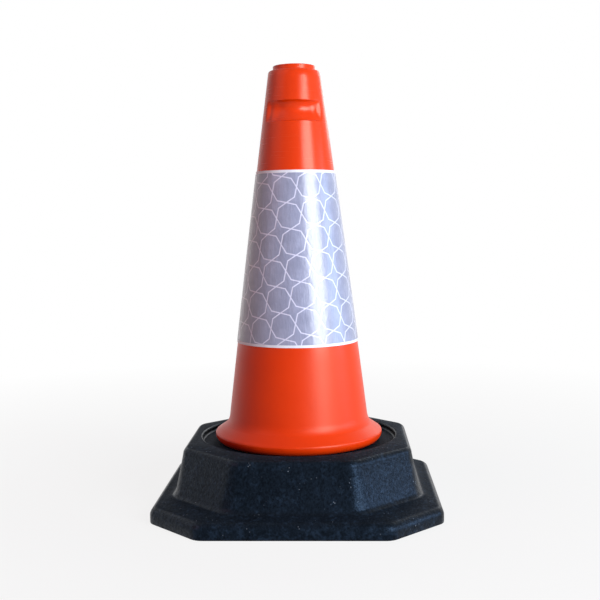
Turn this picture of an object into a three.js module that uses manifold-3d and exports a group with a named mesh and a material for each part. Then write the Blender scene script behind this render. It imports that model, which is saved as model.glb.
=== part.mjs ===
// A two-part traffic cone with a slip-on reflective sleeve
//
// A hollow orange cone plugs into a heavy black octagonal base, and a reflective sleeve drops over
// the cone and wedges on its taper. Lengths are millimetres, +Z is up, the ground is Z = 0 and the
// cone's axis is the Z axis. The cone's finger pockets face -Y and +Y.

import * as THREE from 'three';
import { mergeVertices } from 'three/addons/utils/BufferGeometryUtils.js';
import Module from 'manifold-3d';

const wasm = await Module();
wasm.setup();

// Clearances between pieces
const seatGap = 0.3; // between two faces that rest on each other
const bondGap = 0.1; // between the film and its backing
const collarClearance = 0.6; // round the cone's collar in the base's hole
const keyClearance = 0.6; // on each side of a key in its slot

// Base: the lip all round
const lipReach = 22.5; // how far it stands out from the hub's foot
const lipCorner = 58.5; // how much each corner of the square is cut off, along its sides
const lipHeight = 18.5; // where its rounded upper edge ends
const lipRound = 10; // radius of the upper edge
const lipCornerRound = 15; // radius of the upright edges
const lipRim = 12; // width of the rim that stands on the ground
const lipPlate = 10.5; // thickness above the hollow under the lip
const groundEdgeRound = 1;

// Base: the hub
const hubHeight = 77; // crest of the rim round the recess
const hubFootHeight = 22; // where the lip's sloping top meets the hub
const hubDraft = 9.3; // how far the hub's foot stands out from its top
const hubFootCorner = 65;
const hubFootRound = 5; // radius of the inside corner at the hub's foot
const hubRim = 15.2; // from the recess to the hub's top edge, along the flats
const hubTopCorner = 64;
const hubEdgeDrop = 2; // from the crest down to where the rounded upper edge would end
const hubEdgeRound = 8; // radius of that edge
const hubEdgeSweep = 70; // degrees that it turns through before it runs up to the crest
const hubCornerRound = 16; // radius of the upright edges
const hubWall = 13;

// Base: the recess that takes the cone's foot
const recessClearance = 15.5; // room all round the cone's foot
const recessDepth = 7;
const recessEdgeRound = 1.5;
const recessFloorRound = 2.5;
const seatPlate = 16; // thickness of the plate under the recess

// Cone: the collar below its foot, and the keys on it
const collarRadius = 84;
const collarReach = 6; // how far it comes out under the seat plate
const keyCount = 4;
const keyWidth = 14;
const keyDepth = 2.5;
const keyHeight = 12;

// Cone: the flared foot
const footReach = 13; // how far the flare stands out from the collar
const footUnderRound = 10; // radius under the flare's edge
const footEdgeRound = 3; // radius over the flare's edge
const flareHeight = 24; // from the foot's underside to where the flare meets the straight side
const flareBend = 6; // reach of the soft bend there, each way

// Cone: the straight side and the top
const bodyWall = 3;
const bodyHeight = 424; // from the foot's underside to the shoulder
const waistStep = 3; // from the collar in to where the flare meets the straight side
const shoulderRadius = 29.5;
const sideSwell = 0.6; // how far the side stands out from a straight line at its middle
const shoulderBevel = 1.2;
const neckRadius = 24.3;
const neckHeight = 5.7;
const neckRound = 1.2;
const neckHoleRadius = 20;

// Cone: the finger pockets
const pocketCount = 2;
const pocketDrop = 35; // from the shoulder down to the pocket's upper edge
const pocketHeight = 23.5;
const pocketDepth = 7;
const pocketLedge = 2.4; // depth of the ledge at the pocket's lower edge
const pocketStraight = 73.1; // degrees round the cone over which the pocket keeps its full height
const pocketEnd = 22; // degrees over which each end closes

// Sleeve
const sleeveDrop = 113; // from the shoulder down to the sleeve's upper edge
const sleeveHeight = 195;
const backingThickness = 0.4;
const filmThickness = 0.2;
const filmMargin = 3; // backing left bare above and below the film

// Facets
const cornerSteps = 4; // points round each upright edge of the base
const edgeSteps = 4; // points along each flat between two of them
const roundSteps = 8 * (cornerSteps + edgeSteps); // facets round the cone
const arcSteps = 3; // along a small rounded edge
const sideSteps = 6; // up the cone's side
const sleeveSteps = 2; // up the sleeve
const pocketSteps = 13; // along the pocket's straight stretch
const cutMargin = 2; // how far a cutter stands out of what it cuts

// Radii and widths that follow from those sizes, from the collar outwards
const waistRadius = collarRadius - waistStep;
const footRadius = collarRadius + footReach;
const recessRadius = footRadius + recessClearance;
const hubTopHalfWidth = recessRadius + hubRim;
const hubFootHalfWidth = hubTopHalfWidth + hubDraft;
const lipHalfWidth = hubFootHalfWidth + lipReach;

// Heights that follow from them
const seatHeight = hubHeight - recessDepth;
const seatUnder = seatHeight - seatPlate;
const footUnder = seatHeight + seatGap;
const flareTop = footUnder + flareHeight;
const shoulderHeight = footUnder + bodyHeight;
const neckTop = shoulderHeight + neckHeight;
const collarBottom = seatUnder - collarReach;
const sleeveTop = shoulderHeight - sleeveDrop;
const sleeveBottom = sleeveTop - sleeveHeight;

// Radius of the cone's outside at a height on its straight side
function sideRadius(z) {
  const t = (shoulderHeight - z) / (shoulderHeight - flareTop);
  return THREE.MathUtils.lerp(shoulderRadius, waistRadius, t) + sideSwell * 4 * t * (1 - t);
}

// Even steps from one number to another, both included
function steps(from, to, count) {
  return Array.from({ length: count + 1 }, (_, i) => THREE.MathUtils.lerp(from, to, i / count));
}

// Points of a round edge about a centre at radius r and height z, with angles in degrees, where
// 0 is outwards and 90 is up
function arc(r, z, round, from, to) {
  return steps(from, to, arcSteps).map((degrees) => {
    const angle = THREE.MathUtils.degToRad(degrees);
    return new THREE.Vector2(r + round * Math.cos(angle), z + round * Math.sin(angle));
  });
}

// A closed outline of radii and heights, turned about the Z axis
function turned(outline) {
  return new THREE.LatheGeometry([...outline, outline[0]], roundSteps).rotateX(Math.PI / 2);
}

// A skin over rings that have the same number of points. It closes from the last ring to the
// first, or it has a flat cap on each of them.
function skinned(rings, capped) {
  const count = rings[0].length;
  const index = [];
  const spans = capped ? rings.length - 1 : rings.length;
  for (let i = 0; i < spans; i += 1) {
    const here = i * count;
    const there = ((i + 1) % rings.length) * count;
    for (let j = 0; j < count; j += 1) {
      const k = (j + 1) % count;
      index.push(here + j, here + k, there + k);
      index.push(here + j, there + k, there + j);
    }
  }
  if (capped) {
    const last = (rings.length - 1) * count;
    for (let j = 1; j < count - 1; j += 1) {
      index.push(0, j + 1, j);
      index.push(last, last + j, last + j + 1);
    }
  }
  const positions = rings.flat().flatMap((point) => point.toArray());
  const geometry = new THREE.BufferGeometry();
  geometry.setAttribute('position', new THREE.Float32BufferAttribute(positions, 3));
  geometry.setIndex(index);
  return geometry;
}

// A geometry as a solid that can be joined and cut
function toSolid(geometry) {
  const bare = geometry.clone();
  bare.deleteAttribute('normal');
  bare.deleteAttribute('uv');
  const merged = mergeVertices(bare, 1e-4);
  const corners = Array.from(merged.index.array);
  const triangles = [];
  for (let i = 0; i < corners.length; i += 3) {
    const [a, b, c] = corners.slice(i, i + 3);
    if (a !== b && b !== c && c !== a) {
      triangles.push(a, b, c);
    }
  }
  return new wasm.Manifold(new wasm.Mesh({
    numProp: 3,
    vertProperties: new Float32Array(merged.attributes.position.array),
    triVerts: new Uint32Array(triangles),
  }));
}

function toGeometry(solid) {
  const mesh = solid.getMesh();
  const geometry = new THREE.BufferGeometry();
  geometry.setAttribute('position', new THREE.BufferAttribute(mesh.vertProperties, 3));
  geometry.setIndex(new THREE.BufferAttribute(mesh.triVerts, 1));
  geometry.computeVertexNormals();
  return geometry;
}

// A box at each key, from one radius to another and from one height to another
function boxesAtKeys(fromRadius, toRadius, width, fromHeight, toHeight) {
  return Array.from({ length: keyCount }, (_, i) => {
    const box = new THREE.BoxGeometry(toRadius - fromRadius, width, toHeight - fromHeight);
    box.translate((fromRadius + toRadius) / 2, 0, (fromHeight + toHeight) / 2);
    return toSolid(box.rotateZ((i + 0.5) * 2 * Math.PI / keyCount));
  });
}

// Base

// A ring of the base at a height: a square with its corners cut off and rounded, drawn in by inset
// on every side
function octagonRing({ halfWidth, corner, round }, inset, z) {
  const h = halfWidth - inset;
  const near = h - (corner - (2 - Math.SQRT2) * inset);
  const tangent = Math.max(round - inset, 1) * Math.tan(Math.PI / 8);
  const corners = [[h, near], [near, h], [-near, h], [-h, near], [-h, -near], [-near, -h], [near, -h], [h, -near]]
    .map(([x, y]) => new THREE.Vector3(x, y, z));
  const bends = corners.map((point, i) => {
    const before = corners[(i + 7) % 8].clone().sub(point).setLength(tangent).add(point);
    const after = corners[(i + 1) % 8].clone().sub(point).setLength(tangent).add(point);
    return new THREE.QuadraticBezierCurve3(before, point, after).getPoints(cornerSteps - 1);
  });
  return bends.flatMap((bend, i) => {
    const start = bend[cornerSteps - 1];
    const end = bends[(i + 1) % 8][0];
    return [...bend, ...new THREE.LineCurve3(start, end).getPoints(edgeSteps + 1).slice(1, -1)];
  });
}

// A round ring with as many points, the middle of each bend facing the middle of an octagon's bend
function circleRing(radius, z) {
  return Array.from({ length: roundSteps }, (_, i) => {
    const angle = Math.PI / 8 + (i - (cornerSteps - 1) / 2) * 2 * Math.PI / roundSteps;
    return new THREE.Vector3(radius * Math.cos(angle), radius * Math.sin(angle), z);
  });
}

function makeBase() {
  const lip = { halfWidth: lipHalfWidth, corner: lipCorner, round: lipCornerRound };
  const hubFoot = { halfWidth: hubFootHalfWidth, corner: hubFootCorner, round: hubCornerRound };
  const hubTop = { halfWidth: hubTopHalfWidth, corner: hubTopCorner, round: hubCornerRound };
  const holeRadius = collarRadius + collarClearance;
  const lipUnder = lipHeight - lipPlate;

  const lipEdge = arc(0, lipHeight - lipRound, lipRound, 0, 90);
  const hubEdge = arc(0, hubHeight - hubEdgeDrop - hubEdgeRound, hubEdgeRound, 0, hubEdgeSweep);
  const hubBend = new THREE.QuadraticBezierCurve(
    new THREE.Vector2(-hubFootRound, hubFootHeight - hubFootRound / 4),
    new THREE.Vector2(0, hubFootHeight),
    new THREE.Vector2(hubFootRound / 4, hubFootHeight + hubFootRound),
  ).getPoints(arcSteps);

  const rings = [
    octagonRing(lip, groundEdgeRound, 0),
    octagonRing(lip, 0, groundEdgeRound),
    ...lipEdge.map(({ x, y }) => octagonRing(lip, lipRound - x, y)),
    ...hubBend.map(({ x, y }) => octagonRing(hubFoot, x, y)),
    ...hubEdge.map(({ x, y }) => octagonRing(hubTop, hubEdgeRound - x, y)),
    circleRing(recessRadius + recessEdgeRound, hubHeight),
    circleRing(recessRadius, hubHeight - recessEdgeRound),
    circleRing(recessRadius, seatHeight + recessFloorRound),
    circleRing(recessRadius - recessFloorRound, seatHeight),
    circleRing(holeRadius, seatHeight),
    circleRing(holeRadius, seatUnder),
    octagonRing(hubTop, hubWall, seatUnder),
    octagonRing(hubFoot, hubWall, lipUnder),
    octagonRing(lip, lipRim, lipUnder),
    octagonRing(lip, lipRim, 0),
  ];
  const slots = boxesAtKeys(
    collarRadius - bodyWall,
    collarRadius + keyDepth + collarClearance,
    keyWidth + 2 * keyClearance,
    seatUnder - cutMargin,
    seatHeight + cutMargin,
  );
  return toGeometry(slots.reduce((solid, slot) => solid.subtract(slot), toSolid(skinned(rings, false))));
}

// Cone

// The angle at which a straight line from a point touches the outside of a round edge, in degrees
function touchAngle(centre, round, point) {
  const away = point.clone().sub(centre);
  return THREE.MathUtils.radToDeg(away.angle() - Math.acos(round / away.length()));
}

// The cone's outside, as radii and heights from its collar up to the edge of its neck
function coneOutside() {
  const edge = new THREE.Vector2(footRadius - footEdgeRound, footUnder + footUnderRound);
  const waist = new THREE.Vector2(waistRadius, flareTop);
  const flareAngle = touchAngle(edge, footEdgeRound, waist);
  const flareEdge = arc(edge.x, edge.y, footEdgeRound, 0, flareAngle);
  const flareEnd = flareEdge[arcSteps].clone().sub(waist).setLength(flareBend).add(waist);
  const sideStart = new THREE.Vector2(sideRadius(flareTop + flareBend), flareTop + flareBend);
  const sideHeights = steps(sideStart.y, shoulderHeight - shoulderBevel, sideSteps);
  return [
    new THREE.Vector2(collarRadius, collarBottom),
    new THREE.Vector2(collarRadius, footUnder),
    ...arc(footRadius - footUnderRound, edge.y, footUnderRound, -90, 0),
    ...flareEdge.slice(1),
    ...new THREE.QuadraticBezierCurve(flareEnd, waist, sideStart).getPoints(arcSteps),
    ...sideHeights.slice(1).map((z) => new THREE.Vector2(sideRadius(z), z)),
    new THREE.Vector2(shoulderRadius - shoulderBevel, shoulderHeight),
    new THREE.Vector2(neckRadius, shoulderHeight),
    ...arc(neckRadius - neckRound, neckTop - neckRound, neckRound, 0, 90),
  ];
}

// The space inside the cone, from below its collar up through its neck
function coneInside() {
  const underCentre = footUnder + footUnderRound;
  const ceiling = shoulderHeight - bodyWall;
  const sideHeights = steps(flareTop + flareBend, ceiling, sideSteps);
  return [
    new THREE.Vector2(collarRadius - bodyWall, collarBottom - cutMargin),
    new THREE.Vector2(collarRadius - bodyWall, footUnder + bodyWall),
    ...arc(footRadius - footUnderRound, underCentre, footUnderRound - bodyWall, -90, 0),
    new THREE.Vector2(waistRadius - bodyWall, flareTop - bodyWall / 2),
    ...sideHeights.map((z) => new THREE.Vector2(sideRadius(z) - bodyWall, z)),
    new THREE.Vector2(neckHoleRadius, ceiling),
    new THREE.Vector2(neckHoleRadius, neckTop + cutMargin),
  ];
}

// An outline from below to above, turned into a solid that is full to its axis
function turnedSolid(outline) {
  const bottom = new THREE.Vector2(0, outline[0].y);
  const top = new THREE.Vector2(0, outline[outline.length - 1].y);
  return toSolid(turned([bottom, ...outline, top]));
}

// What each pocket scoops out of the cone. With grow it is larger by that much all round, which
// gives the pocket its wall inside the cone.
function pocketCutter(turn, grow) {
  const top = shoulderHeight - pocketDrop + grow;
  const bottom = shoulderHeight - pocketDrop - pocketHeight - grow;
  const middle = (top + bottom) / 2;
  const straight = pocketStraight / 2;
  const closing = pocketEnd + THREE.MathUtils.radToDeg(grow / shoulderRadius);
  const section = (degrees, size) => {
    const scoop = steps(1, 0, 2 * arcSteps).map((down) => {
      const depth = (pocketDepth - pocketLedge / 2) * Math.sin(Math.PI * down ** 0.7) + pocketLedge * down + grow;
      return [THREE.MathUtils.lerp(top, bottom, down), depth];
    });
    const open = [[top, -cutMargin], [bottom, -cutMargin]];
    const angle = THREE.MathUtils.degToRad(degrees + turn);
    return [...open, ...scoop].map(([height, depth]) => {
      const z = middle + (height - middle) * size;
      const r = sideRadius(z) - depth * size;
      return new THREE.Vector3(r * Math.cos(angle), r * Math.sin(angle), z);
    });
  };
  const end = arc(straight, 0, 1, 0, 80).map(({ x, y }) => [straight + closing * y, x - straight]);
  const rings = [
    ...end.toReversed().map(([degrees, size]) => section(-degrees, size)),
    ...steps(-straight, straight, pocketSteps).slice(1, -1).map((degrees) => section(degrees, 1)),
    ...end.map(([degrees, size]) => section(degrees, size)),
  ];
  return toSolid(skinned(rings, true));
}

function makeCone() {
  const turns = Array.from({ length: pocketCount }, (_, i) => -90 + i * 360 / pocketCount);
  const outside = turnedSolid(coneOutside());
  const inside = turnedSolid(coneInside());
  const scooped = turns.reduce((solid, turn) => solid.subtract(pocketCutter(turn, 0)), outside);
  const hollow = turns.reduce((solid, turn) => solid.subtract(pocketCutter(turn, bodyWall)), inside);
  const keys = boxesAtKeys(
    collarRadius - bodyWall / 2,
    collarRadius + keyDepth,
    keyWidth,
    collarBottom,
    collarBottom + keyHeight,
  );
  return toGeometry(keys.reduce((solid, key) => solid.add(key), scooped.subtract(hollow)));
}

// Sleeve

// A thin shell that follows the cone's side at a distance from it
function sideShell(distance, thickness, bottom, top) {
  const heights = steps(bottom, top, sleeveSteps);
  const outer = heights.map((z) => new THREE.Vector2(sideRadius(z) + distance + thickness, z));
  const inner = heights.map((z) => new THREE.Vector2(sideRadius(z) + distance, z)).reverse();
  return turned([...outer, ...inner]);
}

function makeBacking() {
  return sideShell(seatGap, backingThickness, sleeveBottom, sleeveTop);
}

function makeFilm() {
  const distance = seatGap + backingThickness + bondGap;
  return sideShell(distance, filmThickness, sleeveBottom + filmMargin, sleeveTop - filmMargin);
}

// Scene

function piece(name, geometry, color, roughness) {
  const material = new THREE.MeshStandardMaterial({ color, roughness, metalness: 0 });
  const mesh = new THREE.Mesh(geometry, material);
  mesh.name = name;
  return mesh;
}

const sleeve = new THREE.Group();
sleeve.add(
  piece('sleeve_backing', makeBacking(), 0xe9ecf4, 0.45),
  piece('reflective_film', makeFilm(), 0xa9a9c3, 0.25),
);

const cone = new THREE.Group();
cone.add(piece('cone_body', makeCone(), 0xe8450d, 0.4), sleeve);

const trafficCone = new THREE.Group();
trafficCone.add(piece('base', makeBase(), 0x15191f, 0.7), cone);

export default trafficCone;
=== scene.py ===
# %% [markdown]
# # A two-part traffic cone
# The real object is a hollow orange cone that plugs into a heavy black base, with a reflective sleeve
# dropped over the cone. The imported solids fix every place and size. This script builds a finer skin
# for each of them, on the same axes, and gives each its finish. The frame is loaded first, and its
# box is kept. Sizes are written in millimetres, and times mm they are Blender's metres.

# %% Load the frame
import math

import bmesh
import bpy
from mathutils import Matrix, Vector


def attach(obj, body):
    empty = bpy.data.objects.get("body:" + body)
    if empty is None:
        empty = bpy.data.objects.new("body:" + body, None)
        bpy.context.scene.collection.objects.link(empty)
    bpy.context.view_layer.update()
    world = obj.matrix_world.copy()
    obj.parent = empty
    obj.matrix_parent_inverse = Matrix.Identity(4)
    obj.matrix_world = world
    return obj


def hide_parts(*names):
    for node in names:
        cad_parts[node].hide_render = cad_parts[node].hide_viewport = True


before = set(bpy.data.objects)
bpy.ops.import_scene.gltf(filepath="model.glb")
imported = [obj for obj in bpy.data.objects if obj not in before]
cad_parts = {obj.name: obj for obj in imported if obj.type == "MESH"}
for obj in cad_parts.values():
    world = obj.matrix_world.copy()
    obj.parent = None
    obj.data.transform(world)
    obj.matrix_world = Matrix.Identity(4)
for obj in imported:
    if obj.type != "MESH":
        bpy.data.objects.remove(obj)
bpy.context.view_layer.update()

mm = 0.001

# %% [markdown]
# ## Camera
# The photograph was taken from about a metre away, a little above the middle of the cone, with the
# camera tipped down and turned a hair about its own axis. The numbers come from fitting the outline
# of the cone and of the base at the same time. The lens is given in millimetres on a sensor 36 wide.

# %% Camera
camera_place = Vector((48.3, -1123.4, 329.2)) * mm
camera_heading = 0.0400
camera_pitch = -0.0852
camera_roll = -0.0131

camera_data = bpy.data.cameras.new("camera")
camera_data.lens = 58.28
camera_data.sensor_width = 36
camera = bpy.data.objects.new("camera", camera_data)
bpy.context.scene.collection.objects.link(camera)
camera.matrix_world = (
    Matrix.Translation(camera_place)
    @ Matrix.Rotation(camera_heading, 4, "Z")
    @ Matrix.Rotation(math.pi / 2 + camera_pitch, 4, "X")
    @ Matrix.Rotation(camera_roll, 4, "Z")
)
bpy.context.scene.camera = camera
bpy.context.scene.view_settings.view_transform = "Standard"
print("camera", round(camera_place.length, 3), "m from the middle of the base")

# %% [markdown]
# ## Modelling by operators
# Each piece starts as an empty mesh in edit mode. A primitive goes in, and loops of it are extruded,
# scaled and bridged. An operator acts on whatever is selected, so a few small helpers select by
# place, number a loop so that it can be found again, and carry an open loop on to its next place.

# %% Helpers for edit mode
def make_active(piece):
    bpy.ops.object.select_all(action="DESELECT")
    piece.select_set(True)
    bpy.context.view_layer.objects.active = piece


def start_piece(name):
    """An empty mesh object in edit mode, with nothing else selected."""
    piece = bpy.data.objects.new(name, bpy.data.meshes.new(name))
    bpy.context.scene.collection.objects.link(piece)
    make_active(piece)
    bpy.ops.object.mode_set(mode="EDIT")
    bmesh.from_edit_mesh(piece.data).verts.layers.int.new("loop_number")
    return piece


def pick(piece, kind, wanted):
    """Selects the vertices, edges or faces that wanted says yes to."""
    bpy.ops.mesh.select_mode(type=kind)
    bpy.ops.mesh.select_all(action="DESELECT")
    mesh = bmesh.from_edit_mesh(piece.data)
    for element in {"VERT": mesh.verts, "EDGE": mesh.edges, "FACE": mesh.faces}[kind]:
        element.select_set(bool(wanted(element)))
    mesh.select_flush_mode()
    bmesh.update_edit_mesh(piece.data)


def numbers(piece):
    return bmesh.from_edit_mesh(piece.data).verts.layers.int["loop_number"]


def number_loop(piece, number):
    """Numbers the selected vertices, so that their loop can be found again."""
    layer = numbers(piece)
    for vertex in bmesh.from_edit_mesh(piece.data).verts:
        if vertex.select:
            vertex[layer] = number


def bridge(piece, first, second):
    """Joins two numbered open loops with a strip of faces."""
    layer = numbers(piece)
    pairs = ((first, first), (second, second))
    pick(
        piece,
        "EDGE",
        lambda edge: len(edge.link_faces) < 2 and tuple(v[layer] for v in edge.verts) in pairs,
    )
    bpy.ops.mesh.bridge_edge_loops()


def carry_along(places):
    """Extrudes the selected level loop through a list of (reach, height), the first where it is."""
    for (reach, z), (next_reach, next_z) in zip(places, places[1:]):
        rise = (0, 0, (next_z - z) * mm)
        bpy.ops.mesh.extrude_region_move(TRANSFORM_OT_translate={"value": rise})
        scale = next_reach / reach
        bpy.ops.transform.resize(value=(scale, scale, 1), center_override=(0, 0, next_z * mm))


def arc(r, z, size, start, end, count):
    """Places along a round edge about (r, z): 0 degrees is outwards and 90 is up."""
    angles = [math.radians(start + (end - start) * i / count) for i in range(count + 1)]
    return [(r + size * math.cos(angle), z + size * math.sin(angle)) for angle in angles]


def bend(start, corner, end, count):
    """Places along a soft bend from start to end, drawn towards a corner."""
    controls = (start, corner, end)
    places = []
    for i in range(count + 1):
        t = i / count
        weights = ((1 - t) ** 2, 2 * t * (1 - t), t**2)
        r = sum(weight * control[0] for weight, control in zip(weights, controls))
        z = sum(weight * control[1] for weight, control in zip(weights, controls))
        places.append((r, z))
    return places


def close_piece(piece, smooth_angle):
    """Leaves edit mode with one clean skin that faces outwards."""
    bpy.ops.mesh.select_mode(type="VERT")
    bpy.ops.mesh.select_all(action="SELECT")
    bpy.ops.mesh.remove_doubles(threshold=0.01 * mm)
    bpy.ops.mesh.normals_make_consistent(inside=False)
    mesh = bmesh.from_edit_mesh(piece.data)
    mesh.verts.layers.int.remove(mesh.verts.layers.int["loop_number"])
    bpy.ops.object.mode_set(mode="OBJECT")
    make_active(piece)
    bpy.ops.object.shade_smooth_by_angle(angle=math.radians(smooth_angle))
    size = [round(value / mm, 1) for value in piece.dimensions]
    print(piece.name, "has", len(piece.data.polygons), "faces and measures", size, "mm")


# %% [markdown]
# ## The base
# The base is one rubber moulding: a lip whose four corners are cut off, a taller hub with its own
# cut corners, and a round recess in the hub's top. Blocks and a cylinder joined by booleans would
# leave hard seams where they meet. The moulded one flows from octagon to circle, so it is built as
# loops. A square plane has its corners bevelled twice, first to cut them off and then to round them,
# and its outline is one loop. Every loop has the same number of points, so bridging them gives clean
# quads from the ground up, into the recess, down through the hole and back underneath.

# %% An eight-sided loop
corner_bends = 6
flat_cuts = 15


def octagon_loop(piece, number, half_width, corner, round_size, z):
    """Adds a level square outline with cut and rounded corners, numbered and selected."""
    bpy.ops.mesh.select_mode(type="VERT")
    bpy.ops.mesh.select_all(action="DESELECT")
    bpy.ops.mesh.primitive_plane_add(size=2 * half_width * mm, location=(0, 0, z * mm))
    bpy.ops.mesh.bevel(offset=corner * mm, affect="VERTICES", segments=1)
    tangent = round_size * math.tan(math.pi / 8)
    bpy.ops.mesh.bevel(offset=tangent * mm, affect="VERTICES", segments=corner_bends)
    bpy.ops.mesh.delete(type="ONLY_FACE")
    layer = numbers(piece)
    flat_length = 12 * mm
    pick(piece, "EDGE", lambda e: not e.verts[0][layer] and e.calc_length() > flat_length)
    bpy.ops.mesh.subdivide(number_cuts=flat_cuts)
    layer = numbers(piece)
    pick(piece, "VERT", lambda v: not v[layer])
    number_loop(piece, number)


def make_round(radius, z):
    """Turns the selected level loop into a circle."""
    bpy.ops.transform.tosphere(value=1)
    mesh = bmesh.from_edit_mesh(bpy.context.edit_object.data)
    reach = max(vertex.co.xy.length for vertex in mesh.verts if vertex.select)
    scale = radius * mm / reach
    bpy.ops.transform.resize(value=(scale, scale, 1), center_override=(0, 0, z * mm))


# %% The base's sizes
lip_half_width = 159.5
lip_height = 18.5
lip_corner = 58
lip_corner_round = 15
lip_round = 10
ground_edge = 1

hub_foot = (142, 20.75)
hub_foot_bend = (137, 22)
hub_wall_foot = (135.75, 27)
hub_foot_corner = 67.9
hub_foot_corner_round = 26
hub_wall_top = (127.7, 67)
hub_corner = 64
hub_corner_round = 16
hub_edge_round = 8
hub_height = 77

crest_radius = 115
recess_round = 2.5
seat_height = 70
hole_radius = 84.6
hole_edge = 0.8
ceiling_height = 54
print("the base is", 2 * lip_half_width, "mm wide and", hub_height, "mm high")

# %% The base's outside and its recess
base = start_piece("rubber_base")
ground_reach = lip_half_width - ground_edge
octagon_loop(base, 1, ground_reach, lip_corner, lip_corner_round, 0)
carry_along(
    [
        (ground_reach, 0),
        (lip_half_width - 0.2 * ground_edge, 0.3 * ground_edge),
        (lip_half_width, ground_edge),
        *arc(lip_half_width - lip_round, lip_height - lip_round, lip_round, 0, 90, 8),
    ]
)
number_loop(base, 2)

octagon_loop(base, 3, hub_foot[0], hub_foot_corner, hub_foot_corner_round, hub_foot[1])
carry_along(bend(hub_foot, hub_foot_bend, hub_wall_foot, 6))
number_loop(base, 4)
bridge(base, 2, 3)

hub_reach, hub_shoulder = hub_wall_top
octagon_loop(base, 5, hub_reach, hub_corner, hub_corner_round, hub_shoulder)
bridge(base, 4, 5)
pick(base, "VERT", lambda v: abs(v.co.z - hub_shoulder * mm) < 0.1 * mm)
rim_edge = arc(hub_reach - hub_edge_round, hub_shoulder, hub_edge_round, 0, 70, 7)
carry_along(rim_edge)

rim_reach, rim_z = rim_edge[-1]
carry_along([(rim_reach, rim_z), (rim_reach, hub_height)])
make_round(crest_radius, hub_height)
carry_along(
    [
        *arc(crest_radius, hub_height - recess_round, recess_round, 90, 180, 4),
        *arc(crest_radius - 2 * recess_round, seat_height + recess_round, recess_round, 0, -90, 4),
        (hole_radius + hole_edge, seat_height),
        (hole_radius, seat_height - hole_edge),
        (hole_radius, ceiling_height + hole_edge),
        (hole_radius + hole_edge, ceiling_height),
    ]
)
number_loop(base, 6)
print("outside, recess and hole made")

# %% [markdown]
# The hollow underneath goes on from the hole with four more outlines: the hub's ceiling, the foot of
# the hub's inner wall, the lip's ceiling and the inner edge of the rim that stands on the ground. Two
# outlines at the same height twist when they are bridged. So where the surface is level, the two that
# bound it lie 0.4 mm apart in height.

# %% The hollow underneath
# Each outline is its half width, the size of its cut corners, their rounding and its height, in mm.
hub_ceiling = (114.7, 56.4, 8, 53.6)
hub_inner_foot = (124, 57.4, 10, 8.4)
lip_ceiling = (147.5, 51.5, 8, 8)
rim_inner_edge = (147.5, 51.5, 8, 0.4)
hollow = (hub_ceiling, hub_inner_foot, lip_ceiling, rim_inner_edge)
for number, outline in enumerate(hollow, start=7):
    octagon_loop(base, number, *outline)
    bridge(base, number - 1, number)
bridge(base, 10, 1)
close_piece(base, 38)

# %% [markdown]
# The cone's four keys run in four slots of the hole. A slot is a plain notch with sharp sides, so it
# is cut with a boolean: blocks stand round the axis, one for each key, and are taken away from the
# base.

# %% Slots for the cone's keys
collar_radius = 84
key_count = 4
key_turns = [math.radians(45 + 90 * i) for i in range(key_count)]
key_depth = 2.5
key_width = 14
key_clearance = 0.6
slot_size = (2 * (key_depth + key_clearance), key_width + 2 * key_clearance, 20)
slot_middle = 62

slots = start_piece("slots")
for turn in key_turns:
    bpy.ops.mesh.select_all(action="DESELECT")
    reach = collar_radius * mm
    place = (reach * math.cos(turn), reach * math.sin(turn), slot_middle * mm)
    bpy.ops.mesh.primitive_cube_add(size=1 * mm, location=place, rotation=(0, 0, turn), scale=slot_size)
bpy.ops.object.mode_set(mode="OBJECT")

make_active(base)
bpy.ops.object.modifier_add(type="BOOLEAN")
base.modifiers[-1].operation = "DIFFERENCE"
base.modifiers[-1].object = slots
bpy.ops.object.modifier_apply(modifier=base.modifiers[-1].name)
bpy.data.objects.remove(slots)
print("base with", key_count, "slots:", len(base.data.polygons), "faces")

# %% [markdown]
# ## The cone
# The cone is a hollow plastic moulding that is round about one axis, so its wall is drawn once as a
# closed outline and spun. The outline starts at the collar that plugs into the base, goes out round
# the flared foot, up the side and over the neck ring, and comes back down inside. Its side has a
# few long steps, and many short ones where the finger pockets will be pushed in.

# %% The cone's heights and its side
seat_gap = 0.3
flare_height = 24
body_height = 424
neck_height = 5.7
foot_under = seat_height + seat_gap
flare_top = foot_under + flare_height
shoulder_height = foot_under + body_height
neck_top = shoulder_height + neck_height
wall = 3
waist_radius = 81
shoulder_radius = 29.5
side_swell = 0.6


def side_radius(z):
    """Radius of the cone's outside, which swells a little between the waist and the shoulder."""
    t = (shoulder_height - z) / (shoulder_height - flare_top)
    return shoulder_radius + (waist_radius - shoulder_radius) * t + 4 * side_swell * t * (1 - t)


def side_places(start, end, step, inset):
    """Places up or down the side, a step apart."""
    count = max(1, round(abs(end - start) / step))
    heights = [start + (end - start) * i / count for i in range(count + 1)]
    return [(side_radius(z) - inset, z) for z in heights]


print("the cone stands from", foot_under, "to", neck_top, "mm above the ground")

# %% Where the side needs short steps
pocket_drop = 35
pocket_height = 23.5
pocket_top = shoulder_height - pocket_drop
pocket_low = pocket_top - pocket_height
fine_margin = 5
fine_low = pocket_low - fine_margin
fine_high = pocket_top + fine_margin
fine_step = 0.7
short_step = 6
long_step = 12
inner_step = 16
print("the pockets lie from", round(pocket_low, 1), "to", round(pocket_top, 1), "mm above the ground")

# %% The cone's outline
collar_low = 48
collar_edge = 0.5
key_top = 60
foot_radius = 97
under_round = 10
under_centre = (foot_radius - under_round, foot_under + under_round)
flare_round = 3
flare_edge = arc(foot_radius - flare_round, foot_under + under_round, flare_round, 0, 52, 5)
flare_line_end = (85.2, flare_top - 4.4)
flare_end = flare_top + 7
shoulder_round = 2
neck_radius = 24.3
neck_foot = 1
neck_round = 0.9
neck_hole_radius = 20
neck_hole_edge = 0.6

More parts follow.
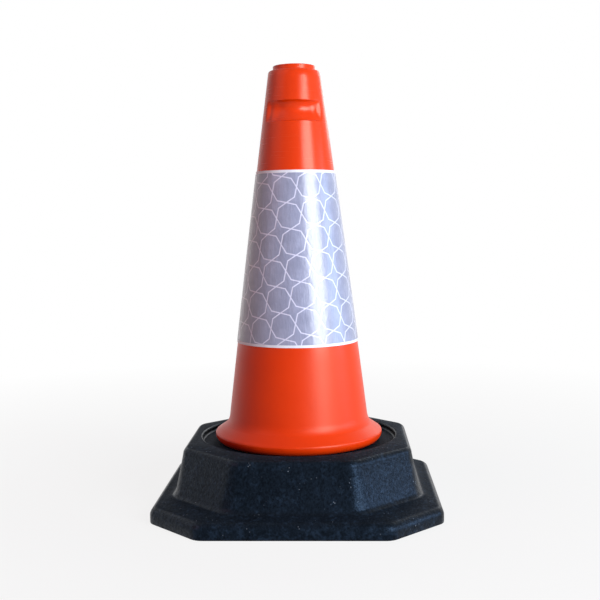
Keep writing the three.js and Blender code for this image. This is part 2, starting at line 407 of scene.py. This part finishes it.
collar = [
    (collar_radius - collar_edge, collar_low),
    (collar_radius, collar_low + collar_edge),
    (collar_radius, key_top),
    (collar_radius, foot_under),
]
foot = [
    *arc(*under_centre, under_round, -90, 0, 9),
    *flare_edge[1:],
    *bend(flare_line_end, (waist_radius, flare_top), (side_radius(flare_end), flare_end), 7),
]
side = [
    *side_places(flare_end + 2, fine_low, long_step, 0),
    *side_places(fine_low + fine_step, fine_high, fine_step, 0),
    *side_places(fine_high + 2, shoulder_height - 2.2, short_step, 0),
]
neck = [
    *arc(shoulder_radius - shoulder_round, shoulder_height - shoulder_round, shoulder_round, 5, 90, 5),
    *bend(
        (neck_radius + neck_foot, shoulder_height),
        (neck_radius, shoulder_height),
        (neck_radius, shoulder_height + neck_foot),
        3,
    ),
    *arc(neck_radius - neck_round, neck_top - neck_round, neck_round, 0, 90, 4),
    (neck_hole_radius + neck_hole_edge, neck_top),
    (neck_hole_radius, neck_top - neck_hole_edge),
]
outside = collar + foot + side + neck
inside = [
    (neck_hole_radius, shoulder_height - wall),
    *side_places(shoulder_height - wall, fine_high, short_step, wall),
    *side_places(fine_high - fine_step, fine_low, fine_step, wall),
    *side_places(fine_low - 2, flare_top + 6, inner_step, wall),
    (waist_radius - wall, flare_top - 1.5),
    *arc(*under_centre, under_round - wall, 0, -90, 6),
    (collar_radius - wall, foot_under + wall),
    (collar_radius - wall, collar_low),
]
print(len(outside), "places outside and", len(inside), "inside")

# %% Spin the outline
cone_turns = 256


def spin_outline(piece, places, closed, turns):
    """Draws an outline point by point and spins it round the axis."""
    r, z = places[0]
    bpy.ops.mesh.select_mode(type="VERT")
    bpy.ops.mesh.primitive_plane_add(size=0.1 * mm, location=(r * mm, 0, z * mm))
    bpy.ops.mesh.merge(type="CENTER")
    for (r, z), (next_r, next_z) in zip(places, places[1:]):
        move = ((next_r - r) * mm, 0, (next_z - z) * mm)
        bpy.ops.mesh.extrude_vertices_move(TRANSFORM_OT_translate={"value": move})
    if closed:
        pick(piece, "VERT", lambda v: len(v.link_edges) == 1)
        bpy.ops.mesh.edge_face_add()
    bpy.ops.mesh.select_all(action="SELECT")
    bpy.ops.mesh.spin(steps=turns, angle=2 * math.pi, center=(0, 0, 0), axis=(0, 0, 1))


cone = start_piece("cone_shell")
spin_outline(cone, outside + inside, True, cone_turns)
close_piece(cone, 40)

# %% [markdown]
# Two finger pockets face front and back, each a scoop with rounded corners that grows shallow towards
# its ends. Cutting them with a boolean would leave sliver faces and a hard rim. A moulded scoop has
# soft edges, so the wall is pushed in instead: a vertex group holds how deep each point goes, and a
# displace modifier pushes along the normals. The inner skin is pushed too, the other way along its
# own normals, so the wall stays even.

# %% The shape of a finger pocket
# Lengths are in mm, and turns are in degrees to either side of the pocket's middle.
pocket_depth = 7
pocket_ledge = 2
pocket_half_turn = 50
pocket_end_length = 7
pocket_edge = 1.1
scoop_power = 0.7
shallow_from = 28
shallow_over = 24
shallow_loss = 0.5


def ease(share):
    """Goes softly from 0 to 1, and is held outside that range."""
    share = min(max(share, 0), 1)
    return share * share * (3 - 2 * share)


def scoop(down):
    """
    Depth of the scoop from its upper edge, 0, to its lower edge, 1. A power under 1 puts its deepest
    place above the middle.
    """
    down = min(max(down, 0), 1)
    bowl = math.sin(math.pi * down**scoop_power)
    return (pocket_depth - pocket_ledge / 2) * bowl + pocket_ledge * down


def pocket_push(place, grow):
    """How far a point of the cone's skin goes in, in mm."""
    r = place.xy.length / mm
    z = place.z / mm
    turn = math.degrees(math.atan2(place.x, abs(place.y)))
    along = math.radians(max(abs(turn) - pocket_half_turn, 0)) * r / (pocket_end_length + grow)
    if along >= 1:
        return 0
    reach = (pocket_height / 2 + grow) * (1 - along**4) ** 0.25
    up = z - (pocket_top + pocket_low) / 2
    if abs(up) >= reach:
        return 0
    edge = ease((reach - abs(up)) / pocket_edge)
    end = 1 - ease(along)
    shallow = 1 - shallow_loss * ease((abs(turn) - shallow_from) / shallow_over)
    return scoop((1 - up / reach) / 2) * edge * end * shallow


print("deepest place of a pocket:", round(max(scoop(i / 100) for i in range(101)), 2), "mm")


# %% Push in the finger pockets
def displace_group(piece, name, strength, pushes):
    """Displaces the piece along its normals by a vertex group of pushes, given as index and mm."""
    largest = max(push for _, push in pushes)
    group = piece.vertex_groups.new(name=name)
    for index, push in pushes:
        group.add([index], push / largest, "REPLACE")
    make_active(piece)
    bpy.ops.object.modifier_add(type="DISPLACE")
    displace = piece.modifiers[-1]
    displace.vertex_group = name
    displace.mid_level = 0
    displace.strength = strength * largest * mm
    bpy.ops.object.modifier_apply(modifier=displace.name)
    piece.vertex_groups.clear()
    print(name, "moves", len(pushes), "points, by up to", round(largest, 2), "mm")


def skin_pushes(piece, inner):
    half_way = wall / 2
    pushes = []
    for vertex in piece.data.vertices:
        z = vertex.co.z / mm
        if not fine_low < z < fine_high:
            continue
        if (vertex.co.xy.length / mm < side_radius(z) - half_way) != inner:
            continue
        push = pocket_push(vertex.co, wall / 2 if inner else 0)
        if push > 0:
            pushes.append((vertex.index, push))
    return pushes


outer_pushes = skin_pushes(cone, False)
inner_pushes = skin_pushes(cone, True)
displace_group(cone, "outer_skin", -1, outer_pushes)
displace_group(cone, "inner_skin", 1, inner_pushes)

# %% [markdown]
# The four keys stand on the collar below the foot. They are faces of the collar, picked by their
# height and by the angle they face, and extruded outwards.

# %% Keys on the collar
key_half_turn = math.radians(4.9)

make_active(cone)
bpy.ops.object.mode_set(mode="EDIT")


def on_a_key(face):
    place = face.calc_center_median()
    on_collar = place.xy.length > (collar_radius - collar_edge) * mm
    if not (on_collar and collar_low * mm < place.z < key_top * mm):
        return False
    turn = math.atan2(place.y, place.x)
    return any(abs(math.remainder(turn - key, 2 * math.pi)) < key_half_turn for key in key_turns)


pick(cone, "FACE", on_a_key)
bpy.ops.mesh.extrude_region_shrink_fatten(TRANSFORM_OT_shrink_fatten={"value": key_depth * mm})
bpy.ops.object.mode_set(mode="OBJECT")
bpy.ops.object.shade_smooth_by_angle(angle=math.radians(40))
print("cone reaches out to", round(max(v.co.xy.length for v in cone.data.vertices) / mm, 1), "mm")

# %% [markdown]
# ## The sleeve
# The sleeve is a flat sheet of white plastic, cut as part of a ring, rolled round and joined where
# its ends overlap at the back. The patterned film is bonded to it and stops just short of its edges.
# Each is spun as one thin skin on the cone's side, lifted where the ends overlap, and then given its
# thickness. A map unrolls each skin back to the flat sheet, because the film's pattern is even there.

# %% The sleeve's sizes and its flat map
sleeve_drop = 113
sleeve_height = 195
sleeve_top = shoulder_height - sleeve_drop
sleeve_bottom = sleeve_top - sleeve_height
sheet_thickness = 0.4
film_thickness = 0.2
film_margin = 3
bond_gap = 0.1
film_offset = seat_gap + sheet_thickness + bond_gap
half_angle = math.atan((waist_radius - shoulder_radius) / (shoulder_height - flare_top))
sleeve_reach = shoulder_radius + 1
apex_height = shoulder_height + sleeve_reach / math.tan(half_angle)
overlap_start = math.radians(164)
overlap_ramp = math.radians(6)
overlap_lift = 0.5


def turn_of(place):
    """Angle round the cone, 0 at the front and growing towards the right."""
    return math.atan2(place.x, -place.y)


def unroll(piece):
    """Gives every corner its place on the flat sheet, in metres, as the map named sheet."""
    sheet = piece.data.uv_layers.new(name="sheet")
    for polygon in piece.data.polygons:
        middle = turn_of(polygon.center)
        for corner in polygon.loop_indices:
            place = piece.data.vertices[piece.data.loops[corner].vertex_index].co
            turn = middle + math.remainder(turn_of(place) - middle, 2 * math.pi)
            slant = math.hypot(apex_height * mm - place.z, place.xy.length)
            flat = turn * math.sin(half_angle)
            sheet.data[corner].uv = (slant * math.sin(flat), -slant * math.cos(flat))


sheet_span = 360 * math.sin(half_angle)
print("laid flat, the sleeve spans", round(sheet_span, 1), "degrees without its overlap")


# %% Sleeve skins
def overlap_pushes(piece):
    pushes = []
    for vertex in piece.data.vertices:
        ramp = (turn_of(vertex.co) - overlap_start) / overlap_ramp
        if ramp > 0:
            pushes.append((vertex.index, overlap_lift * min(ramp, 1)))
    return pushes


def make_skin(name, offset, thickness, bottom, top):
    skin = start_piece(name)
    places = [(r + offset, z) for r, z in side_places(bottom, top, long_step, 0)]
    spin_outline(skin, places, False, cone_turns)
    close_piece(skin, 40)
    unroll(skin)
    displace_group(skin, "overlap", 1, overlap_pushes(skin))
    bpy.ops.object.modifier_add(type="SOLIDIFY")
    skin.modifiers[-1].thickness = thickness * mm
    skin.modifiers[-1].offset = 1
    bpy.ops.object.modifier_apply(modifier=skin.modifiers[-1].name)
    bpy.ops.object.shade_smooth_by_angle(angle=math.radians(40))
    return skin


sheet = make_skin("sleeve_sheet", seat_gap, sheet_thickness, sleeve_bottom, sleeve_top)
film = make_skin(
    "sleeve_film", film_offset, film_thickness, sleeve_bottom + film_margin, sleeve_top - film_margin
)

# %% [markdown]
# ## Finishes
# Each finish is a node material on the piece's own coordinates, so it stays with the piece in any
# pose. One helper adds a node, sets its options, and either fills or links its inputs.

# %% Helpers for materials
def new_finish(name):
    material = bpy.data.materials.new(name)
    material.use_nodes = True
    return material, material.node_tree.nodes["Principled BSDF"]


def add(material, kind, options=None, **inputs):
    """Adds a node. An input is named with its number or its name, as in_0=... or Scale=..."""
    node = material.node_tree.nodes.new(kind)
    for name, value in (options or {}).items():
        setattr(node, name, value)
    for name, value in inputs.items():
        key = int(name[3:]) if name.startswith("in_") else name.replace("_", " ")
        feed(material, node.inputs[key], value)
    return node


def feed(material, socket, value):
    if isinstance(value, bpy.types.NodeSocket):
        material.node_tree.links.new(value, socket)
    else:
        socket.default_value = value


def maths(material, operation, first, second=0.0):
    return add(material, "ShaderNodeMath", {"operation": operation}, in_0=first, in_1=second).outputs[0]


def spread(material, value, low, high, to_low=0.0, to_high=1.0):
    """Maps a range of a value to another range, held at both ends."""
    node = add(material, "ShaderNodeMapRange", {"clamp": True}, Value=value)
    ends = {"From Min": low, "From Max": high, "To Min": to_low, "To Max": to_high}
    for name, number in ends.items():
        node.inputs[name].default_value = number
    return node.outputs[0]


def noise(material, place, scale, detail=3.0, roughness=0.5):
    node = add(material, "ShaderNodeTexNoise", Vector=place, Scale=scale, Detail=detail)
    node.inputs["Roughness"].default_value = roughness
    return node.outputs["Fac"]


def mix(material, factor, first, second):
    """Mixes two colours, each a colour or a socket."""
    node = add(material, "ShaderNodeMix", {"data_type": "RGBA"}, in_0=factor)
    feed(material, node.inputs[6], first)
    feed(material, node.inputs[7], second)
    return node.outputs[2]


def bump(material, height, distance, strength=1.0, under=None):
    node = add(material, "ShaderNodeBump", Height=height, Distance=distance, Strength=strength)
    if under is not None:
        feed(material, node.inputs["Normal"], under)
    return node.outputs["Normal"]


def stretch(material, place, scale):
    return add(material, "ShaderNodeMapping", Vector=place, Scale=scale).outputs[0]


def object_place(material):
    return add(material, "ShaderNodeTexCoord").outputs["Object"]


def upward(material):
    """How much the surface faces up: 1 on a level top, where dust settles."""
    normal = add(material, "ShaderNodeTexCoord").outputs["Normal"]
    return add(material, "ShaderNodeSeparateXYZ", in_0=normal).outputs["Z"]


# %% [markdown]
# ### Black rubber
# The base is moulded from ground-up rubber. It is nearly black and matte with a cold sheen where it
# faces the light, cloudy with flow marks, and dotted with pale crumbs and scuffs. Towards the ground
# the scuffs grow, partly as wear and partly as painted light bounced up from the floor, and the rubber
# colours are tinted blue as a painted reflection of the cold sky. Several sizes of noise carry this:
# broad clouds for colour and roughness, a fine grain for bump, and sparse spots.

# %% Rubber
rubber, shader = new_finish("black_rubber")
place = object_place(rubber)
height = add(rubber, "ShaderNodeSeparateXYZ", in_0=place).outputs["Z"]
clouds = noise(rubber, place, 26, 6, 0.65)
mottle = noise(rubber, place, 230, 5, 0.65)
flow = noise(rubber, stretch(rubber, place, (90, 90, 40)), 1, 5, 0.6)
# The blue in these rubber colours is painted: it stands for the cold sky reflected in the rubber.
dark_rubber = (0.0008, 0.0012, 0.0018, 1)
pale_rubber = (0.0022, 0.0034, 0.0054, 1)
scuffed_and_bounce_rubber = (0.008, 0.014, 0.024, 1)
pale_crumb = (0.11, 0.13, 0.16, 1)
# Painted light: the scuffs grow towards the ground, partly real wear and partly painted light bounced
# up from the floor.
ground_wear_and_bounce = spread(rubber, height, 0.016, 0.004, 0.0, 0.2)
scuff_and_bounce_level = maths(rubber, "ADD", flow, ground_wear_and_bounce)
scuff_and_bounce_places = spread(rubber, scuff_and_bounce_level, 0.46, 0.62)
scuff_and_bounce_grain = spread(rubber, mottle, 0.46, 0.62)
scuffs_and_bounce = maths(rubber, "MULTIPLY", scuff_and_bounce_places, scuff_and_bounce_grain)
colour = mix(rubber, spread(rubber, clouds, 0.35, 0.65), dark_rubber, pale_rubber)
colour = mix(rubber, scuffs_and_bounce, colour, scuffed_and_bounce_rubber)
crumbs = add(rubber, "ShaderNodeTexVoronoi", Vector=place, Scale=300)
crumb_share = spread(rubber, crumbs.outputs["Distance"], 0.22, 0.12)
crumb_mask = spread(rubber, noise(rubber, place, 75, 2), 0.62, 0.68)
colour = mix(rubber, maths(rubber, "MULTIPLY", crumb_share, crumb_mask), colour, pale_crumb)
feed(rubber, shader.inputs["Base Color"], colour)
top_dust = spread(rubber, upward(rubber), 0.85, 0.97, 0.0, 0.5)
roughness = spread(rubber, mottle, 0.35, 0.65, 0.38, 0.30)
feed(rubber, shader.inputs["Roughness"], maths(rubber, "ADD", roughness, top_dust))
bloom = noise(rubber, stretch(rubber, place, (480, 480, 330)), 1, 4, 0.7)
# The export drops this link, so the socket holds the middle of its range.
shader.inputs["Specular IOR Level"].default_value = 0.15
feed(rubber, shader.inputs["Specular IOR Level"], spread(rubber, bloom, 0.40, 0.64, 0.09, 0.24))
shader.inputs["Specular Tint"].default_value = (0.36, 0.60, 1.0, 1)
swirl = bump(rubber, clouds, 1.6 * mm, 0.5)
feed(rubber, shader.inputs["Normal"], bump(rubber, mottle, 0.55 * mm, 0.8, swirl))
base.data.materials.append(rubber)
print("rubber has", len(rubber.node_tree.nodes), "nodes")

# %% [markdown]
# ### Orange plastic
# The cone is coloured all through. It has a soft gloss that shows the light as a broad pale strip,
# with a slight waviness from the mould and a few fine marks round it where other cones have rubbed.
# The gloss is tinted a little towards orange, so that a white room doesn't lie on it as a pink veil.

# %% Orange plastic
orange, shader = new_finish("orange_plastic")
place = object_place(orange)
tone = noise(orange, place, 14, 4, 0.6)
rub = noise(orange, stretch(orange, place, (30, 30, 900)), 1, 3, 0.7)
rub_marks = spread(orange, rub, 0.66, 0.76, 0, 0.5)
height = add(orange, "ShaderNodeSeparateXYZ", in_0=place).outputs["Z"]
wear = spread(orange, height, 0.20, 0.17)
deep_orange = (0.56, 0.026, 0.0002, 1)
pale_orange = (0.64, 0.035, 0.0003, 1)
rubbed_orange = (0.42, 0.020, 0.001, 1)
colour = mix(orange, tone, deep_orange, pale_orange)
colour = mix(orange, maths(orange, "MULTIPLY", rub_marks, 0.35), colour, rubbed_orange)
feed(orange, shader.inputs["Base Color"], colour)
gloss = spread(orange, rub, 0.3, 0.8, 0.22, 0.30)
gloss = maths(orange, "ADD", gloss, maths(orange, "MULTIPLY", wear, 0.14))
shader.inputs["Specular IOR Level"].default_value = 0.28
shader.inputs["Specular Tint"].default_value = (1.0, 0.86, 0.72, 1)
dusty_top = spread(orange, upward(orange), 0.85, 0.97, 0.0, 0.35)
feed(orange, shader.inputs["Roughness"], maths(orange, "ADD", gloss, dusty_top))
mould_waves = noise(orange, stretch(orange, place, (14, 14, 40)), 1, 2)
waves = bump(orange, mould_waves, 0.9 * mm, 0.22)
fine_grain = noise(orange, place, 900, 2)
feed(orange, shader.inputs["Normal"], bump(orange, fine_grain, 0.05 * mm, 0.5, waves))
cone.data.materials.append(orange)
print("orange has", len(orange.node_tree.nodes), "nodes")

# %% [markdown]
# ### White sheet
# The sheet behind the film shows only as a plain white edge above and below it.

# %% White sheet
white, shader = new_finish("white_sheet")
place = object_place(white)
dust = noise(white, place, 120, 5, 0.6)
dusty_white = (0.60, 0.61, 0.68, 1)
clean_white = (0.72, 0.73, 0.80, 1)
feed(white, shader.inputs["Base Color"], mix(white, dust, dusty_white, clean_white))
feed(white, shader.inputs["Roughness"], spread(white, dust, 0.3, 0.7, 0.38, 0.5))
feed(white, shader.inputs["Normal"], bump(white, dust, 0.1 * mm, 0.4))
sheet.data.materials.append(white)
print("white sheet has", len(white.node_tree.nodes), "nodes")

# %% [markdown]
# ### Reflective film
# The film is a layer of tiny prisms, held to its backing by a net of welded lines. The net is a
# square lattice of regular octagons that touch at their points, which leaves stars between them.
# It is drawn on the unrolled sheet: the place in one lattice cell is folded into an eighth of it,
# where the octagon's side is one straight line, and the distance to that line gives the weld.

# %% The place in one lattice cell
cell_width = 28.24 * mm
cell_height = 29.67 * mm
lattice_tilt = math.radians(9.91)
lattice_start = (-38.66 * mm, -379.3 * mm, 0)

reflective, shader = new_finish("reflective_film")
sheet_map = add(reflective, "ShaderNodeUVMap", {"uv_map": "sheet"}).outputs[0]
lattice = add(reflective, "ShaderNodeMapping", {"vector_type": "TEXTURE"}, Vector=sheet_map)
lattice.inputs["Location"].default_value = lattice_start
lattice.inputs["Rotation"].default_value = (0, 0, lattice_tilt)
lattice.inputs["Scale"].default_value = (cell_width, cell_height, 1)
cell = add(reflective, "ShaderNodeSeparateXYZ", in_0=lattice.outputs[0])


def folded(axis):
    """Distance from the nearest octagon's middle along one axis of the lattice, in cells."""
    shifted = maths(reflective, "ADD", cell.outputs[axis], 0.5)
    share = maths(reflective, "FRACT", shifted)
    return maths(reflective, "ABSOLUTE", maths(reflective, "SUBTRACT", share, 0.5))


across = folded("X")
along = folded("Y")
print("the octagons are", round(cell_width / mm, 1), "mm apart round the cone")

# %% Distance to the welded lines
weld_half_width = 0.027
far = maths(reflective, "MAXIMUM", across, along)
near = maths(reflective, "MINIMUM", across, along)
eighth = math.pi / 8
far_part = maths(reflective, "MULTIPLY", far, math.cos(eighth))
near_part = maths(reflective, "MULTIPLY", near, math.sin(eighth))
outward = maths(reflective, "ADD", far_part, near_part)
side_distance = maths(reflective, "SUBTRACT", outward, 0.5 * math.cos(eighth))
from_weld = maths(reflective, "ABSOLUTE", side_distance)
weld = spread(reflective, from_weld, weld_half_width, weld_half_width * 0.55)
print("a welded line is", round(2 * weld_half_width * cell_width / mm, 1), "mm wide")

# %% Reflective film
streaks = noise(reflective, stretch(reflective, sheet_map, (1500, 60, 1)), 1, 3, 0.6)
patches = noise(reflective, sheet_map, 45, 3, 0.6)
dark_prism = (0.17, 0.18, 0.27, 1)
pale_prism = (0.27, 0.285, 0.41, 1)
milky_prism = (0.33, 0.35, 0.49, 1)
weld_colour = (0.57, 0.57, 0.72, 1)
prism = mix(reflective, streaks, dark_prism, pale_prism)
prism = mix(reflective, spread(reflective, patches, 0.4, 0.7, 0, 0.5), prism, milky_prism)
feed(reflective, shader.inputs["Base Color"], mix(reflective, weld, prism, weld_colour))
shader.inputs["Specular IOR Level"].default_value = 0.3
feed(reflective, shader.inputs["Roughness"], spread(reflective, streaks, 0.3, 0.7, 0.20, 0.30))
shader.inputs["Coat Weight"].default_value = 0.5
shader.inputs["Coat Roughness"].default_value = 0.2
shader.inputs["Sheen Weight"].default_value = 0.4
shader.inputs["Sheen Roughness"].default_value = 0.5
ripples = noise(reflective, stretch(reflective, sheet_map, (210, 90, 1)), 1, 4)
pillow = maths(reflective, "POWER", spread(reflective, from_weld, 0, 0.4), 0.5)
relief = bump(reflective, pillow, 0.5 * mm, 0.6, bump(reflective, ripples, 1.0 * mm, 0.6))
feed(reflective, shader.inputs["Normal"], bump(reflective, streaks, 0.06 * mm, 0.6, relief))
film.data.materials.append(reflective)
print("film has", len(reflective.node_tree.nodes), "nodes")

# %% [markdown]
# ## Riding on the frame
# Each piece stands for its solid and moves with that solid's body. Its finish was named after the
# record's slot.

# %% Bodies
for piece, body, node, slot in (
    (base, "base", "base", "black_rubber"),
    (cone, "cone", "cone_body", "orange_plastic"),
    (sheet, "sleeve", "sleeve_backing", "white_sheet"),
    (film, "sleeve", "reflective_film", "reflective_film"),
):
    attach(piece, body)
    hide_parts(node)
    print(piece.name, "rides on", body)

# %% [markdown]
# ## Floor and light
# The object stands on a plain pale floor in front of white. A tall soft light at the right, as from
# a window, draws the pale strip down the cone, and leans so that the strip slants as it does in the
# photograph. A low cold light further right, as from the sky, shows the rubber's right side. The room
# is dimmer on the left, and a soft light behind shows the back. The white behind is the world's own
# colour for camera, glossy and transmission rays, and adds no light to rough surfaces. Lengths here
# are in metres and powers in watts.

# %% Floor
def sees_background(owner):
    """1 for the rays that see the white background: camera, glossy and transmission rays."""
    rays = add(owner, "ShaderNodeLightPath")
    seen = maths(owner, "ADD", rays.outputs["Is Camera Ray"], rays.outputs["Is Glossy Ray"])
    return maths(owner, "ADD", seen, rays.outputs["Is Transmission Ray"])


floor_width = 12
floor_gap = 0.2 * mm
floor = start_piece("floor")
bpy.ops.mesh.primitive_plane_add(size=floor_width, location=(0, 0, -floor_gap))
bpy.ops.object.mode_set(mode="OBJECT")
paper = bpy.data.materials.new("paper")
paper.use_nodes = True
shader = paper.node_tree.nodes["Principled BSDF"]
shader.inputs["Base Color"].default_value = (0.5, 0.5, 0.5, 1)
shader.inputs["Roughness"].default_value = 0.9
shader.inputs["Specular IOR Level"].default_value = 0.1
glow = add(paper, "ShaderNodeEmission", Color=(1, 1, 1, 1), Strength=1.0)
from_middle = add(paper, "ShaderNodeVectorMath", {"operation": "LENGTH"}, in_0=object_place(paper))
shade_start = 0.25
shade_end = 1.1
glow_beside_base = 0.85
fade = spread(paper, from_middle.outputs["Value"], shade_start, shade_end, glow_beside_base, 1.0)
share = maths(paper, "MULTIPLY", sees_background(paper), fade)
blend = add(paper, "ShaderNodeMixShader", in_0=share, in_1=shader.outputs[0], in_2=glow.outputs[0])
paper.node_tree.links.new(blend.outputs[0], paper.node_tree.nodes["Material Output"].inputs["Surface"])
floor.data.materials.append(paper)
print("floor", [round(value, 2) for value in floor.dimensions], "m")

# %% Lights
cone_middle = Vector((0, 0, 0.25))


def area_light(name, turn, distance, height, width, tall, power, colour, lean=0):
    """
    A soft rectangle that looks at the cone's middle. Turn is degrees to the right of the front, and
    lean is degrees that it is turned in its own plane.
    """
    data = bpy.data.lights.new(name, "AREA")
    data.shape = "RECTANGLE"
    data.size = width
    data.size_y = tall
    data.energy = power
    data.color = colour
    light = bpy.data.objects.new(name, data)
    bpy.context.scene.collection.objects.link(light)
    angle = math.radians(turn)
    place = Vector((distance * math.sin(angle), -distance * math.cos(angle), height))
    light.location = place
    aim = (cone_middle - place).to_track_quat("-Z", "Y").to_matrix().to_4x4()
    light.rotation_euler = (aim @ Matrix.Rotation(math.radians(lean), 4, "Z")).to_euler()
    print(name, "at", [round(value, 2) for value in place])


cold_white = (0.90, 0.95, 1.0)
warm_red = (1.0, 0.34, 0.32)
sky_blue = (0.50, 0.72, 1.0)
plain_white = (1.0, 1.0, 1.0)
window_lean = 25
area_light("window", 45, 1.9, 0.75, width=1.05, tall=1.2, power=64, colour=cold_white, lean=window_lean)
area_light("room", -64, 2.2, 1.9, width=1.8, tall=1.8, power=20, colour=warm_red)
area_light("sky", 85, 2.2, 0.5, width=1.1, tall=0.8, power=17, colour=sky_blue)
area_light("rear", 165, 2.2, 1.2, width=2.0, tall=1.0, power=12, colour=plain_white)

# %% The white behind
world = bpy.data.worlds.new("room")
bpy.context.scene.world = world
world.use_nodes = True
background = world.node_tree.nodes["Background"]
room_fill = 0.02
seen = spread(world, sees_background(world), 0, 1, room_fill, 1.0)
feed(world, background.inputs["Strength"], seen)
background.inputs["Color"].default_value = (1, 1, 1, 1)
print("the room itself shines at", room_fill, "of the white behind")
